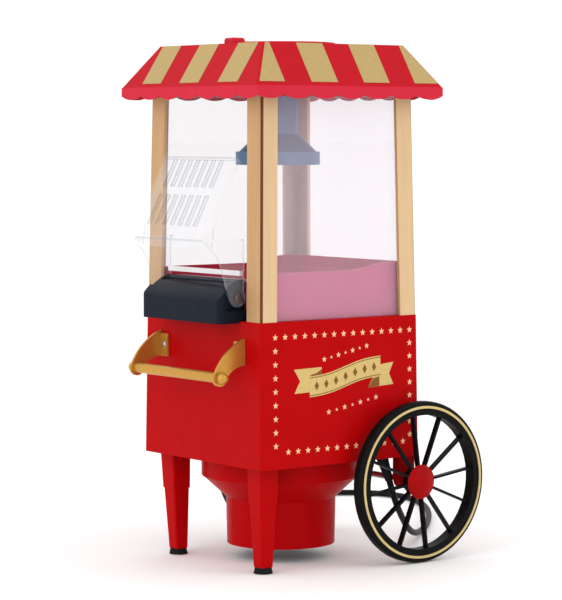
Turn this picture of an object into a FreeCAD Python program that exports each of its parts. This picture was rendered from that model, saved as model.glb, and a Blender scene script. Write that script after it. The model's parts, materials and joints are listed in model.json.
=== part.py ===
import FreeCAD, Part
import math
import os

from FreeCAD import Vector

# Hot-air popcorn maker in the shape of a small street cart. Millimetres, +Z up, floor at z = 0.
# -X is the serving end with the chute and the push handle, +X the end with the two wheels.
# The model is laid out about the cabinet's centre line and moved by ORIGIN_SHIFT_X at export.

# Red cabinet
BODY_Z0 = 80.0
BODY_Z1 = 189.0
BODY_HALF_LOW = 75.9
BODY_HALF_HIGH = 74.6
BODY_CORNER_R = 1.6
WALL = 2.4
DECK_HOLE_R = 47.0

# Motor pedestal under the cabinet
FLANGE_R = 61.7
FLANGE_Z = 64.0
NECK_Z = 47.0
PEDESTAL_R = 42.6
PEDESTAL_Z0 = 11.0
PEDESTAL_WALL = 2.2

# Front legs
LEG_X = -58.5
LEG_Y = 55.5
LEG_HALF_LOW = 5.5
LEG_TAPER_OUT = 4.4
LEG_TAPER_IN = 1.4
LEG_SOCKET_Z = 52.0
FOOT_H = 4.5
FOOT_R = 7.2

# Wheels
WHEEL_X = 65.7
WHEEL_Y = 88.7
WHEEL_R = 62.0
TYRE_HALF = 4.7
TYRE_ROUND = 2.8
RIM_IN_R = 51.5
RING_IN_R = 56.6
RING_OUT_R = 58.5
RING_FACE = 5.3
RING_BACK = 3.6
SPOKES = 12
SPOKE_THICK = 1.7
SPOKE_DEPTH = 4.4
HUB_R = 10.0
HUB_IN = 7.6
HUB_OUT = 2.3
CAP_R = 13.2
CAP_H = 5.0
AXLE_R = 2.5
RUNNING_GAP = 0.05
BRACKET_HALF_X = 7.5
BRACKET_Y0 = 66.0
BRACKET_Y1 = 74.0

# Posts, windows and roof
POST_Z1 = 356.0
POST_FOOT_HALF = 74.4
POST_HEAD_HALF = 71.6
POST_WIDE = 16.0
FRONT_POST_WIDE = 18.0
FRONT_POST_SIDE = 14.6
POST_T = 2.8
POST_GROOVE = 1.6
PANE = 1.5
ROOF_TOP = 395.0
ROOF_TOP_HALF = 67.0
EAVE_Z = 363.0
EAVE_HALF = 88.3
ROOF_SKIN = 2.2
VALANCE_TIP_Z = 353.6
VALANCE_DIP = 3.0
VALANCE_WALL = 1.6
SCALLOPS = 7
FRAME_T = 3.0
FRAME_HALF = 84.0
HATCH_R = 33.0
LID_R = 42.0
LID_T = 2.4
CUP_R = 32.0
CUP_DEPTH = 21.0
CUP_WALL = 1.6
TAB_X = -44.0
TAB_HALF_X = 6.0
TAB_HALF_Y = 6.5
TAB_TOP = 400.4

# Kernel funnel shaped like a hanging kettle
FUNNEL_X = -2.9
FUNNEL_TUBE_R = 15.6
FUNNEL_CONE_R = 30.0
FUNNEL_RIM_R = 32.5
FUNNEL_Z0 = 304.0
FUNNEL_RIM_Z = 314.0
FUNNEL_NECK_Z = 327.6
FUNNEL_FLARE_Z = 362.0
FUNNEL_Z1 = 371.5
FUNNEL_WALL = 1.8

# Popcorn basin, chute and guard
BASIN_HALF = 67.2
BASIN_WALL = 2.2
BASIN_FLOOR = 212.0
BASIN_LOW_RIM = 224.8
BASIN_HIGH_RIM = 230.0
BASIN_FRONT_RIM = 218.0
CHUTE_HALF = 49.8
CHUTE_FRONT = -95.5
CHUTE_BACK = -69.0
CHUTE_Z0 = 189.3
CHUTE_APRON_Z = 204.0
CHUTE_TOP_Z = 220.0
CHUTE_CHEEK_INSET = 3.6
CHUTE_LIP_Z = 187.6
CHUTE_WALL = 2.4
GUARD_OUT = 48.3
GUARD_WALL = 1.6
GUARD_FRONT = -118.5
GUARD_BACK = -70.7
GUARD_RIM_Z = 250.0
GUARD_SKIRT = 6.0
GUARD_PLATE_FOOT_X = -108.5
GUARD_PLATE_HEAD_X = -77.0
GUARD_PLATE_HEAD_Z = 311.0
GUARD_PLATE_HALF = 45.8
SLOT_PITCH = 10.0
SLOT_WIDE = 3.6
PIVOT_X = -76.5
PIVOT_Z = 206.5
EAR_R = 7.0
PIN_R = 2.0

# Push handle
HANDLE_X = -97.7
HANDLE_Z = 148.4
HANDLE_R = 4.0
ARM_OUT = 55.5
ARM_T = 2.2
ARM_FOOT_Z0 = 156.5
ARM_FOOT_Z1 = 176.5
ARM_BOSS_R = 6.2
ARM_FLANGE = 12.0

# Popping works inside
CHAMBER_R = 36.0
CHAMBER_WALL = 1.2
CHAMBER_Z0 = 132.0
CHAMBER_LIP_R = 44.0
DUCT_R = 43.0
DUCT_WALL = 1.6
DUCT_Z0 = 83.2
DUCT_Z1 = 204.0
FAN_R = 37.0
FAN_Z0 = 66.0
FAN_Z1 = 79.0
MOTOR_R = 19.0
MOTOR_Z0 = 24.0
MOTOR_Z1 = 58.0
SHAFT_R = 1.6

# Rear controls and mains cord
SWITCH_Y = 45.0
SWITCH_Z = 150.0
ROCKER_PIN_R = 1.2
GLAND_AT = (52.0, -60.0, 80.0)
CORD_D = 5.0
CORD_LIE = 2.6
COIL_X = 124.6
COIL_Y = 176.3
COIL_MID_R = 31.0
COIL_BUNDLE = 9.8
PLUG_SIZE = (34.0, 22.0, 18.0)
PLUG_REAR_Y = 162.0

ORIGIN_SHIFT_X = -4.6

CORD_ROUTE = [
    (58.0, -62.0, 61.0),
    (65.0, -60.0, 45.0),
    (80.0, -50.0, 30.0),
    (100.0, -35.0, 15.0),
    (130.0, -10.0, 5.0),
    (175.0, 30.0, CORD_LIE),
    (225.0, 85.0, CORD_LIE),
    (255.0, 130.0, CORD_LIE),
    (270.0, 170.0, CORD_LIE),
    (260.0, 205.0, CORD_LIE),
    (230.0, 230.0, CORD_LIE),
    (190.0, 230.0, CORD_LIE),
    (150.0, 220.0, CORD_LIE),
    (115.0, 205.0, CORD_LIE),
]


def block(x0, x1, y0, y1, z0, z1):
    """A box between two corners."""
    return Part.makeBox(x1 - x0, y1 - y0, z1 - z0, Vector(x0, y0, z0))


def post_of(r, z0, z1, x=0.0, y=0.0):
    """An upright cylinder."""
    return Part.makeCylinder(r, z1 - z0, Vector(x, y, z0))


def rod_y(r, y0, y1, x, z):
    """A cylinder along Y."""
    return Part.makeCylinder(r, y1 - y0, Vector(x, y0, z), Vector(0, 1, 0))


def rod_x(r, x0, x1, y, z):
    """A cylinder along X."""
    return Part.makeCylinder(r, x1 - x0, Vector(x0, y, z), Vector(1, 0, 0))


def pipe(r_out, r_in, z0, z1):
    """An upright tube on the centre line."""
    return post_of(r_out, z0, z1).cut(post_of(r_in, z0 - 1, z1 + 1))


def rounded_rect(half_x, half_y, r, z, x=0.0, y=0.0):
    """A rounded rectangle as a wire in a level plane."""
    plate = block(x - half_x, x + half_x, y - half_y, y + half_y, z, z + 1)
    if r > 0:
        upright = [e for e in plate.Edges if abs(e.tangentAt(e.FirstParameter).z) > 0.9]
        plate = plate.makeFillet(r, upright)
    return min(plate.Faces, key=lambda f: f.CenterOfMass.z).OuterWire


def drafted(half0, half1, r, z0, z1):
    """A square block whose walls lean from one half width to another."""
    return Part.makeLoft([rounded_rect(half0, half0, r, z0), rounded_rect(half1, half1, r, z1)], True, True)


def side_outline(points, y0, y1):
    """A flat outline in the XZ plane, pushed from y0 to y1."""
    wire = Part.makePolygon([Vector(x, y0, z) for x, z in points] + [Vector(points[0][0], y0, points[0][1])])
    return Part.Face(wire).extrude(Vector(0, y1 - y0, 0))


def stack(rings):
    """Cones and cylinders between successive (radius, height) rings."""
    parts = []
    for (r0, z0), (r1, z1) in zip(rings, rings[1:]):
        if r0 == r1:
            parts.append(post_of(r0, z0, z1))
        else:
            parts.append(Part.makeCone(r0, r1, z1 - z0, Vector(0, 0, z0)))
    return parts[0].multiFuse(parts[1:]).removeSplitter()


def mirrored(shape):
    """The same shape on the other side of the cart."""
    return shape.mirror(Vector(0, 0, 0), Vector(0, 1, 0))


def body_half(z):
    """The cabinet's outer half width at a height."""
    share = (z - BODY_Z0) / (BODY_Z1 - BODY_Z0)
    return BODY_HALF_LOW + (BODY_HALF_HIGH - BODY_HALF_LOW) * share


def post_half(z):
    """The posts' outer half width at a height."""
    share = (z - BODY_Z1) / (POST_Z1 - BODY_Z1)
    return POST_FOOT_HALF + (POST_HEAD_HALF - POST_FOOT_HALF) * share


def switch_box(grow, x0, x1):
    """The rocker switch's rectangular body, grown all round."""
    return block(x0, x1, SWITCH_Y - 10.5 - grow, SWITCH_Y + 10.5 + grow,
                 SWITCH_Z - 7.0 - grow, SWITCH_Z + 7.0 + grow)


def body_shell():
    outer = drafted(BODY_HALF_LOW, BODY_HALF_HIGH, BODY_CORNER_R, BODY_Z0, BODY_Z1)
    inner = drafted(BODY_HALF_LOW - WALL, body_half(BODY_Z1 - WALL) - WALL,
                    0, BODY_Z0, BODY_Z1 - WALL)
    shell = outer.cut(inner)
    shell = shell.cut(post_of(DECK_HOLE_R, BODY_Z1 - 10, BODY_Z1 + 1))
    return shell.cut(switch_box(0.0, 60, 90))


def base_plate():
    half = BODY_HALF_LOW - WALL - 0.2
    plate = drafted(half, half, 0, BODY_Z0 + 0.2, BODY_Z0 + 3.0)
    plate = plate.cut(post_of(FAN_R + 3.0, BODY_Z0 - 1, BODY_Z0 + 4))
    return plate.cut(post_of(4.5, BODY_Z0 - 1, BODY_Z0 + 4, GLAND_AT[0], GLAND_AT[1]))


def base_screws():
    screws = []
    for x in (-48.0, 48.0):
        for y in (-48.0, 48.0):
            head = post_of(3.4, BODY_Z0 + 3.0, BODY_Z0 + 5.2, x, y)
            slot = block(x - 4, x + 4, y - 0.4, y + 0.4, BODY_Z0 + 4.4, BODY_Z0 + 6)
            screws.append(head.cut(slot))
    return Part.makeCompound(screws)


def motor_pedestal():
    rings = [(PEDESTAL_R - 0.8, PEDESTAL_Z0), (PEDESTAL_R, NECK_Z), (FLANGE_R - 0.6, FLANGE_Z)]
    low, neck, wide = rings
    outer = Part.makeCone(low[0], neck[0], neck[1] - low[1], Vector(0, 0, low[1]))
    outer = outer.fuse(Part.makeCone(neck[0], wide[0], wide[1] - neck[1], Vector(0, 0, neck[1])))
    outer = outer.fuse(post_of(FLANGE_R, FLANGE_Z, BODY_Z0))
    t = PEDESTAL_WALL
    inner = Part.makeCone(low[0] - t, neck[0] - t, neck[1] - low[1] + 1, Vector(0, 0, low[1] - 1))
    inner = inner.fuse(post_of(neck[0] - t, neck[1] - 1, BODY_Z0 + 1))
    return outer.cut(inner).removeSplitter()


def intake_grille():
    r = PEDESTAL_R - PEDESTAL_WALL - 1.2
    disc = post_of(r, PEDESTAL_Z0 + 0.6, PEDESTAL_Z0 + 2.6)
    for k in range(-4, 5):
        reach = math.sqrt((r - 4) ** 2 - (7.5 * k) ** 2)
        disc = disc.cut(block(-reach, reach, 7.5 * k - 2, 7.5 * k + 2, 0, 20))
    return disc


def front_leg():
    """The left leg: square, leaning in towards the foot, stepped out into its socket."""
    def ring(z, grow):
        share = (z - FOOT_H) / (BODY_Z0 - FOOT_H)
        half = LEG_HALF_LOW + (LEG_TAPER_OUT + LEG_TAPER_IN) * share / 2 + grow
        lean = (LEG_TAPER_OUT - LEG_TAPER_IN) * share / 2
        return rounded_rect(half, half, 1.6, z, LEG_X - lean, -LEG_Y - lean)

    leg = Part.makeLoft([ring(FOOT_H, 0.0), ring(LEG_SOCKET_Z, 0.0)], True, True)
    socket = Part.makeLoft([ring(LEG_SOCKET_Z, 0.6), ring(BODY_Z0, 0.3)], True, True)
    return leg.fuse(socket).cut(post_of(FLANGE_R + 0.3, FLANGE_Z - 20, BODY_Z0 + 1)).removeSplitter()


def rubber_feet():
    feet = []
    for side in (-1, 1):
        foot = Part.makeCone(FOOT_R, FOOT_R - 0.9, FOOT_H, Vector(LEG_X, side * LEG_Y, 0))
        feet.append(foot)
    return Part.makeCompound(feet)


def axle_bracket():
    """The left bracket under the cabinet, with a boss round the axle."""
    plate = block(WHEEL_X - BRACKET_HALF_X, WHEEL_X + BRACKET_HALF_X, -BRACKET_Y1, -BRACKET_Y0,
                  WHEEL_R, BODY_Z0)
    boss = rod_y(BRACKET_HALF_X - 0.5, -BRACKET_Y1, -BRACKET_Y0, WHEEL_X, WHEEL_R)
    nose = rod_y(6.0, -(WHEEL_Y - HUB_IN - 0.6), -BRACKET_Y1, WHEEL_X, WHEEL_R)
    hole = rod_y(AXLE_R, -100, -10, WHEEL_X, WHEEL_R)
    return plate.fuse(boss).fuse(nose).cut(hole).removeSplitter()


def wheel_axle():
    end = WHEEL_Y + HUB_OUT + 2.0
    return rod_y(AXLE_R, -end, end, WHEEL_X, WHEEL_R)


def axle_nuts():
    """Push-on caps that keep the wheels on the axle, hidden under the domes."""
    nuts = []
    for side in (-1, 1):
        y0, y1 = sorted((side * (WHEEL_Y + HUB_OUT + 0.4), side * (WHEEL_Y + HUB_OUT + 1.6)))
        nut = rod_y(5.2, y0, y1, WHEEL_X, WHEEL_R)
        nuts.append(nut.cut(rod_y(AXLE_R, y0 - 1, y1 + 1, WHEEL_X, WHEEL_R)))
    return Part.makeCompound(nuts)


def gold_ring():
    """The raised ring on the left wheel's outer face."""
    y0 = -(WHEEL_Y + RING_FACE)
    y1 = -(WHEEL_Y + RING_BACK)
    ring = rod_y(RING_OUT_R, y0, y1, WHEEL_X, WHEEL_R)
    return ring.cut(rod_y(RING_IN_R, y0 - 1, y1 + 1, WHEEL_X, WHEEL_R))


def wheel():
    """The left wheel: rounded tyre, rim, blade spokes and hub in one moulding."""
    centre = Vector(WHEEL_X, -WHEEL_Y, WHEEL_R)
    body = rod_y(WHEEL_R, -WHEEL_Y - TYRE_HALF, -WHEEL_Y + TYRE_HALF, WHEEL_X, WHEEL_R)
    body = body.makeFillet(TYRE_ROUND, [e for e in body.Edges if e.Closed])
    body = body.cut(rod_y(RIM_IN_R, -WHEEL_Y - 10, -WHEEL_Y + 10, WHEEL_X, WHEEL_R))
    body = body.fuse(rod_y(HUB_R, -WHEEL_Y - HUB_OUT, -WHEEL_Y + HUB_IN, WHEEL_X, WHEEL_R))
    for k in range(SPOKES):
        spoke = block(HUB_R - 1.5, RIM_IN_R + 1.0, -SPOKE_DEPTH / 2, SPOKE_DEPTH / 2,
                      -SPOKE_THICK / 2, SPOKE_THICK / 2)
        spoke.rotate(Vector(0, 0, 0), Vector(0, 1, 0), 360.0 * (k + 0.75) / SPOKES)
        spoke.translate(centre)
        body = body.fuse(spoke)
    bore = rod_y(AXLE_R + RUNNING_GAP, -WHEEL_Y - 20, -WHEEL_Y + 20, WHEEL_X, WHEEL_R)
    return body.cut(bore).cut(gold_ring()).removeSplitter()


def hub_cap():
    """The left wheel's domed cap, hollow over the axle end."""
    face = -(WHEEL_Y + HUB_OUT)
    ball_r = (CAP_R ** 2 + CAP_H ** 2) / (2 * CAP_H)
    ball = Part.makeSphere(ball_r, Vector(WHEEL_X, face - CAP_H + ball_r, WHEEL_R))
    dome = ball.common(rod_y(CAP_R + 1, face - CAP_H - 1, face, WHEEL_X, WHEEL_R))
    return dome.cut(rod_y(6.4, face - 2.9, face + 1, WHEEL_X, WHEEL_R))


def post(side_x, side_y):
    """A corner post: an angle section with a groove down its outer corner."""
    rings = []
    for z in (BODY_Z1 + 0.1, POST_Z1):
        o = post_half(z)
        w = FRONT_POST_SIDE if side_x < 0 else POST_WIDE
        front = FRONT_POST_WIDE if side_x < 0 else POST_WIDE
        t = POST_T
        g = POST_GROOVE
        outline = [(o - w, o), (o - g, o), (o - g, o - g), (o, o - g),
                   (o, o - front), (o - t, o - front), (o - t, o - t), (o - w, o - t), (o - w, o)]
        rings.append(Part.makePolygon([Vector(side_x * x, side_y * y, z) for x, y in outline]))
    return Part.makeLoft(rings, True, True)


def pane(side):
    """A window behind the posts' inner faces; side 0 is left, 1 rear, 2 right."""
    rings = []
    for z in (BODY_Z1 + 0.3, POST_Z1 - 0.2):
        out = post_half(z) - POST_T - 0.1
        half = out - PANE - 0.4
        rings.append(rounded_rect(half, PANE / 2, 0, z, 0, PANE / 2 - out))
    sheet = Part.makeLoft(rings, True, True)
    sheet.rotate(Vector(0, 0, 0), Vector(0, 0, 1), 90.0 * side)
    return sheet


def popcorn_basin():
    """A square tray on the deck whose rim is lower towards the serving end."""
    h = BASIN_HALF
    outline = [(-h, BODY_Z1 + 0.2), (h, BODY_Z1 + 0.2), (h, BASIN_HIGH_RIM), (52, BASIN_HIGH_RIM),
               (42, 229.2), (30, 226.6), (18, BASIN_LOW_RIM), (-h, BASIN_LOW_RIM)]
    tray = side_outline(outline, -h, h)
    upright = [e for e in tray.Edges if abs(e.tangentAt(e.FirstParameter).z) > 0.99]
    tray = tray.makeFillet(4.0, upright)
    w = BASIN_WALL
    well = Part.makeLoft([rounded_rect(h - 7, h - 7, 10, BASIN_FLOOR),
                          rounded_rect(h - w, h - w, 4, BASIN_LOW_RIM - 3)], True, True)
    well = well.fuse(drafted(h - w, h - w, 4, BASIN_LOW_RIM - 3, BASIN_HIGH_RIM + 1))
    under = drafted(h - w, h - w, 3, BODY_Z1 - 1, BASIN_FLOOR - w)
    tray = tray.cut(well).cut(under).cut(post_of(CHAMBER_R + 2.0, 150, 260))
    mouth = block(-h - 1, -h + 8, -CHUTE_HALF, CHUTE_HALF, BASIN_FRONT_RIM, 240)
    return tray.cut(mouth).removeSplitter()


def front_chute():
    """The black hood that popcorn slides down, hollow underneath."""
    x0, x1 = CHUTE_FRONT, CHUTE_BACK
    top = CHUTE_TOP_Z
    slope = [(-74.0, 0.0), (-77.0, 1.0), (-80.0, 2.3), (-84.0, 4.6), (-88.0, 7.5), (-91.5, 10.6), (-94.2, 13.6)]
    left = -CHUTE_HALF
    brow = Part.BSplineCurve()
    brow.interpolate([Vector(x, left, top - drop) for x, drop in slope] + [Vector(x0, left, CHUTE_APRON_Z)])
    corners = [(x0, CHUTE_APRON_Z), (x0, CHUTE_LIP_Z), (-76.4, CHUTE_LIP_Z), (-76.4, CHUTE_Z0),
               (x1, CHUTE_Z0), (x1, top), (slope[0][0], top)]
    edges = [brow.toShape()]
    for (xa, za), (xb, zb) in zip(corners, corners[1:]):
        edges.append(Part.LineSegment(Vector(xa, left, za), Vector(xb, left, zb)).toShape())
    shell = Part.Face(Part.Wire(edges)).extrude(Vector(0, 2 * CHUTE_HALF, 0))
    front = [e for e in shell.Edges
             if abs(e.tangentAt(e.FirstParameter).z) > 0.99 and e.CenterOfMass.x < x0 + 0.1]
    shell = shell.makeFillet(2.4, front)
    for side in (-1, 1):
        y0, y1 = sorted((side * (CHUTE_HALF - CHUTE_CHEEK_INSET), side * (CHUTE_HALF + 1)))
        shell = shell.cut(block(-88.2, x1 + 1, y0, y1, 197.0, top + 1))
    w = CHUTE_WALL
    inner = [(x1 - w, CHUTE_Z0 - 1), (x1 - w, top - w)] + [(x + 0.5, top - drop - w) for x, drop in slope[:5]]
    inner = inner + [(x0 + w, CHUTE_APRON_Z - w), (x0 + w, CHUTE_LIP_Z - 1), (-76.4 - w, CHUTE_LIP_Z - 1),
                     (-76.4 - w, CHUTE_Z0 - 1)]
    half = CHUTE_HALF - CHUTE_CHEEK_INSET - w
    shell = shell.cut(side_outline(inner, -half, half))
    band = [(-78.2, top - 0.4), (-78.2, top - 2.6), (-82.6, top - 5.0), (-82.6, top - 2.6)]
    shell = shell.cut(side_outline(band, -CHUTE_HALF + 7, CHUTE_HALF - 7))
    for side in (-1, 1):
        y0, y1 = sorted((side * 40, side * (CHUTE_HALF + 1)))
        shell = shell.cut(rod_y(PIN_R, y0, y1, PIVOT_X, PIVOT_Z))
    return shell.removeSplitter()


def guard_cheek():
    """The left cheek of the clear guard, from the rim down to the pivot ear."""
    y0, y1 = -GUARD_OUT, -GUARD_OUT + GUARD_WALL
    under = GUARD_RIM_Z - GUARD_SKIRT
    outline = [(GUARD_BACK, PIVOT_Z), (GUARD_BACK, GUARD_RIM_Z), (GUARD_FRONT, GUARD_RIM_Z),
               (GUARD_FRONT, under), (-103.0, under), (-99.5, 242.0), (-96.0, 238.2), (-92.7, 232.4),
               (-89.6, 224.0), (-87.3, 216.0), (-84.6, 206.5), (PIVOT_X - EAR_R + 0.2, 204.4)]
    cheek = side_outline(outline, y0, y1)
    ear = rod_y(EAR_R, y0, y1, PIVOT_X, PIVOT_Z)
    cheek = cheek.fuse(ear)
    return cheek.cut(rod_y(PIN_R + RUNNING_GAP, y0 - 1, y1 + 1, PIVOT_X, PIVOT_Z)).removeSplitter()


def guard_plate():
    """The leaning front plate with its two rows of slots."""
    run = GUARD_PLATE_HEAD_X - GUARD_PLATE_FOOT_X
    rise = GUARD_PLATE_HEAD_Z - GUARD_RIM_Z
    length = math.hypot(run, rise)
    tilt = math.degrees(math.atan2(run, rise))
    w = GUARD_WALL
    half = GUARD_PLATE_HALF
    plate = block(0, w, -half, half, 0, length)
    plate = plate.fuse(block(0, 3.4, -half, half, length - w, length))
    for side in (-1, 1):
        y0, y1 = sorted((side * half, side * (half - w)))
        flange = side_outline([(0, 0), (12.0, 0), (7.0, 14.0), (6.0, length), (0, length)], y0, y1)
        plate = plate.fuse(flange)
    for low, high in ((length - 57.0, length - 32.0), (length - 25.0, length - 2.6)):
        for k in range(-3, 4):
            y = SLOT_PITCH * k
            plate = plate.cut(block(-5, 5, y - SLOT_WIDE / 2, y + SLOT_WIDE / 2, low, high))
    plate.rotate(Vector(0, 0, 0), Vector(0, 1, 0), tilt)
    plate.translate(Vector(GUARD_PLATE_FOOT_X, 0, GUARD_RIM_Z - 0.4))
    return plate


def guard_hood():
    """The clear guard: shelf rim, skirt, cheeks, slotted plate and lower cross rail."""
    under = GUARD_RIM_Z - GUARD_SKIRT
    w = GUARD_WALL
    cheek = guard_cheek()
    hood = cheek.fuse(mirrored(cheek))
    hood = hood.fuse(block(GUARD_FRONT, GUARD_FRONT + w, -GUARD_OUT, GUARD_OUT, under, GUARD_RIM_Z))
    hood = hood.fuse(block(GUARD_FRONT, GUARD_PLATE_FOOT_X + 3.0, -GUARD_OUT, GUARD_OUT,
                           GUARD_RIM_Z - w, GUARD_RIM_Z))
    for side in (-1, 1):
        y0, y1 = sorted((side * (GUARD_PLATE_HALF - w), side * GUARD_OUT))
        hood = hood.fuse(block(GUARD_FRONT, GUARD_BACK, y0, y1, GUARD_RIM_Z - w, GUARD_RIM_Z))
    hood = hood.fuse(guard_plate())
    rail = block(-73.6, -71.0, -GUARD_OUT, GUARD_OUT, 222.6, 226.2)
    return hood.fuse(rail).removeSplitter()


def guard_pivots():
    """Two headed pins set in the chute's cheeks; the guard's ears turn on them."""
    pins = []
    for side in (-1, 1):
        y0, y1 = sorted((side * 41.5, side * (GUARD_OUT + 0.3)))
        pin = rod_y(PIN_R, y0, y1, PIVOT_X, PIVOT_Z)
        y0, y1 = sorted((side * (GUARD_OUT + 0.3), side * (GUARD_OUT + 1.1)))
        pins.append(pin.fuse(rod_y(3.4, y0, y1, PIVOT_X, PIVOT_Z)).removeSplitter())
    return Part.makeCompound(pins)


def handle_arm():
    """The left arm: curved plate, flange on the cabinet and a boss round the bar."""
    y0, y1 = -ARM_OUT, -ARM_OUT + ARM_T
    face = -body_half(ARM_FOOT_Z0) - 0.1
    tip = HANDLE_X - ARM_BOSS_R
    top = Part.Arc(Vector(face, y0, ARM_FOOT_Z1), Vector(HANDLE_X + 2.6, y0, ARM_FOOT_Z1 - 13.5),
                   Vector(tip, y0, HANDLE_Z))
    nose = Part.Arc(Vector(tip, y0, HANDLE_Z), Vector(HANDLE_X, y0, HANDLE_Z - ARM_BOSS_R),
                    Vector(HANDLE_X + ARM_BOSS_R, y0, HANDLE_Z))
    belly = Part.Arc(Vector(HANDLE_X + ARM_BOSS_R, y0, HANDLE_Z), Vector(face - 10.0, y0, ARM_FOOT_Z0 - 2.4),
                     Vector(face, y0, ARM_FOOT_Z0))
    back = Part.LineSegment(Vector(face, y0, ARM_FOOT_Z0), Vector(face, y0, ARM_FOOT_Z1))
    wire = Part.Wire([curve.toShape() for curve in (top, nose, belly, back)])
    arm = Part.Face(wire).extrude(Vector(0, ARM_T, 0))
    flange = block(face - 1.6, face, y0, y0 + ARM_FLANGE, ARM_FOOT_Z0, ARM_FOOT_Z1 - 2.5)
    hole = rod_y(HANDLE_R, y0 - 1, y1 + 1, HANDLE_X, HANDLE_Z)
    screw = rod_x(1.6, face - 5, face + 5, y0 + 6.6, ARM_FOOT_Z0 + 9.0)
    return arm.fuse(flange).cut(hole).cut(screw).removeSplitter()


def handle_bar():
    return rod_y(HANDLE_R, -ARM_OUT, ARM_OUT, HANDLE_X, HANDLE_Z)


def handle_finials():
    balls = []
    for side in (-1, 1):
        centre = Vector(HANDLE_X, side * (ARM_OUT + 2.6), HANDLE_Z)
        ball = Part.makeSphere(4.4, centre)
        y0, y1 = sorted((side * ARM_OUT, side * (ARM_OUT + 9)))
        balls.append(ball.common(rod_y(6, y0, y1, HANDLE_X, HANDLE_Z)))
    return Part.makeCompound(balls)


def handle_screws():
    face = -body_half(ARM_FOOT_Z0) - 0.1
    screws = []
    for side in (-1, 1):
        y = side * (ARM_OUT - 6.6)
        z = ARM_FOOT_Z0 + 9.0
        head = Part.makeSphere(4.0, Vector(face + 1.4, y, z)).common(rod_x(3.2, face - 4, face - 1.6, y, z))
        screws.append(head.fuse(rod_x(1.6, face - 1.6, face, y, z)))
    return Part.makeCompound(screws)


def kernel_funnel():
    w = FUNNEL_WALL
    outer = stack([(FUNNEL_RIM_R, FUNNEL_Z0), (FUNNEL_RIM_R, FUNNEL_RIM_Z)])
    outer = outer.fuse(stack([(FUNNEL_CONE_R, FUNNEL_RIM_Z), (FUNNEL_TUBE_R, FUNNEL_NECK_Z),
                              (FUNNEL_TUBE_R, FUNNEL_FLARE_Z), (FUNNEL_TUBE_R + 13, FUNNEL_Z1)]))
    outer = outer.fuse(post_of(FUNNEL_TUBE_R + 8, POST_Z1 + FRAME_T + 0.2, POST_Z1 + FRAME_T + 2.0))
    inner = stack([(FUNNEL_RIM_R - w, FUNNEL_Z0 - 1), (FUNNEL_RIM_R - w, FUNNEL_RIM_Z - w)])
    inner = inner.fuse(stack([(FUNNEL_CONE_R - w, FUNNEL_RIM_Z - w), (FUNNEL_TUBE_R - w, FUNNEL_NECK_Z - w),
                              (FUNNEL_TUBE_R - w, FUNNEL_FLARE_Z + 0.8),
                              (FUNNEL_TUBE_R + 13 - w, FUNNEL_Z1 + 0.5)]))
    funnel = outer.cut(inner).removeSplitter()
    funnel.translate(Vector(FUNNEL_X, 0, 0))
    return funnel


def roof_frame():
    """The plate that ties the post heads together under the canopy."""
    z0 = POST_Z1 + 0.1
    plate = drafted(FRAME_HALF, FRAME_HALF, 4, z0, z0 + FRAME_T)
    return plate.cut(post_of(FUNNEL_TUBE_R + 0.6, z0 - 5, z0 + 9, FUNNEL_X))


def roof_half(z):
    """The canopy's outer half width at a height."""
    share = (z - EAVE_Z) / (ROOF_TOP - EAVE_Z)
    return EAVE_HALF + (ROOF_TOP_HALF - EAVE_HALF) * share


def roof_canopy():
    """Four leaning slopes and a flat top with a round hatch."""
    outer = drafted(EAVE_HALF, ROOF_TOP_HALF, 1.5, EAVE_Z, ROOF_TOP)
    w = ROOF_SKIN
    inner = drafted(EAVE_HALF - 1.2 * w, roof_half(ROOF_TOP - w) - 1.2 * w, 1.0, EAVE_Z, ROOF_TOP - w)
    return outer.cut(inner).cut(post_of(HATCH_R, ROOF_TOP - 5, ROOF_TOP + 1)).removeSplitter()


def scallop_side(half):
    """One side of the skirt, with a row of round tongues."""
    pitch = 2 * half / SCALLOPS
    y0, y1 = -half, -half + VALANCE_WALL
    valley_z = VALANCE_TIP_Z + VALANCE_DIP
    side = block(-half, half, y0, y1, valley_z, EAVE_Z)
    r = ((pitch / 2) ** 2 + VALANCE_DIP ** 2) / (2 * VALANCE_DIP)
    for k in range(SCALLOPS):
        x = -half + pitch * (k + 0.5)
        tongue = rod_y(r, y0, y1, x, VALANCE_TIP_Z + r)
        side = side.fuse(tongue.common(block(x - pitch / 2, x + pitch / 2, y0, y1, VALANCE_TIP_Z - 1, valley_z + 1)))
    return side


def roof_valance():
    """The scalloped skirt below the canopy's eaves."""
    skirt = scallop_side(EAVE_HALF)
    sides = []
    for k in range(4):
        side = skirt.copy()
        side.rotate(Vector(0, 0, 0), Vector(0, 0, 1), 90.0 * k)
        sides.append(side)
    ring = drafted(EAVE_HALF - 1, EAVE_HALF - 1, 1, POST_Z1 + FRAME_T + 0.1, EAVE_Z)
    ring = ring.cut(drafted(EAVE_HALF - 7, EAVE_HALF - 7, 1, POST_Z1, EAVE_Z + 1))
    return sides[0].multiFuse(sides[1:] + [ring]).removeSplitter()


def measuring_cup():
    """The hatch lid with its sunken kernel cup and a lift tab."""
    z0 = ROOF_TOP + 0.1
    z1 = ROOF_TOP + LID_T
    lid = post_of(LID_R, z0, z1)
    lid = lid.makeFillet(1.0, [e for e in lid.Edges if e.Closed and e.CenterOfMass.z > z1 - 0.1])
    lid = lid.fuse(post_of(CUP_R, ROOF_TOP - CUP_DEPTH, z0 + 0.5))
    tab = block(TAB_X - TAB_HALF_X, TAB_X + TAB_HALF_X, -TAB_HALF_Y, TAB_HALF_Y, z0, TAB_TOP)
    tab = tab.makeFillet(2.2, [e for e in tab.Edges if e.CenterOfMass.z > z0 + 1])
    lid = lid.fuse(tab)
    well = post_of(CUP_R - CUP_WALL, ROOF_TOP - CUP_DEPTH + CUP_WALL, z1 + 1)
    return lid.cut(well).removeSplitter()


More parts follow.
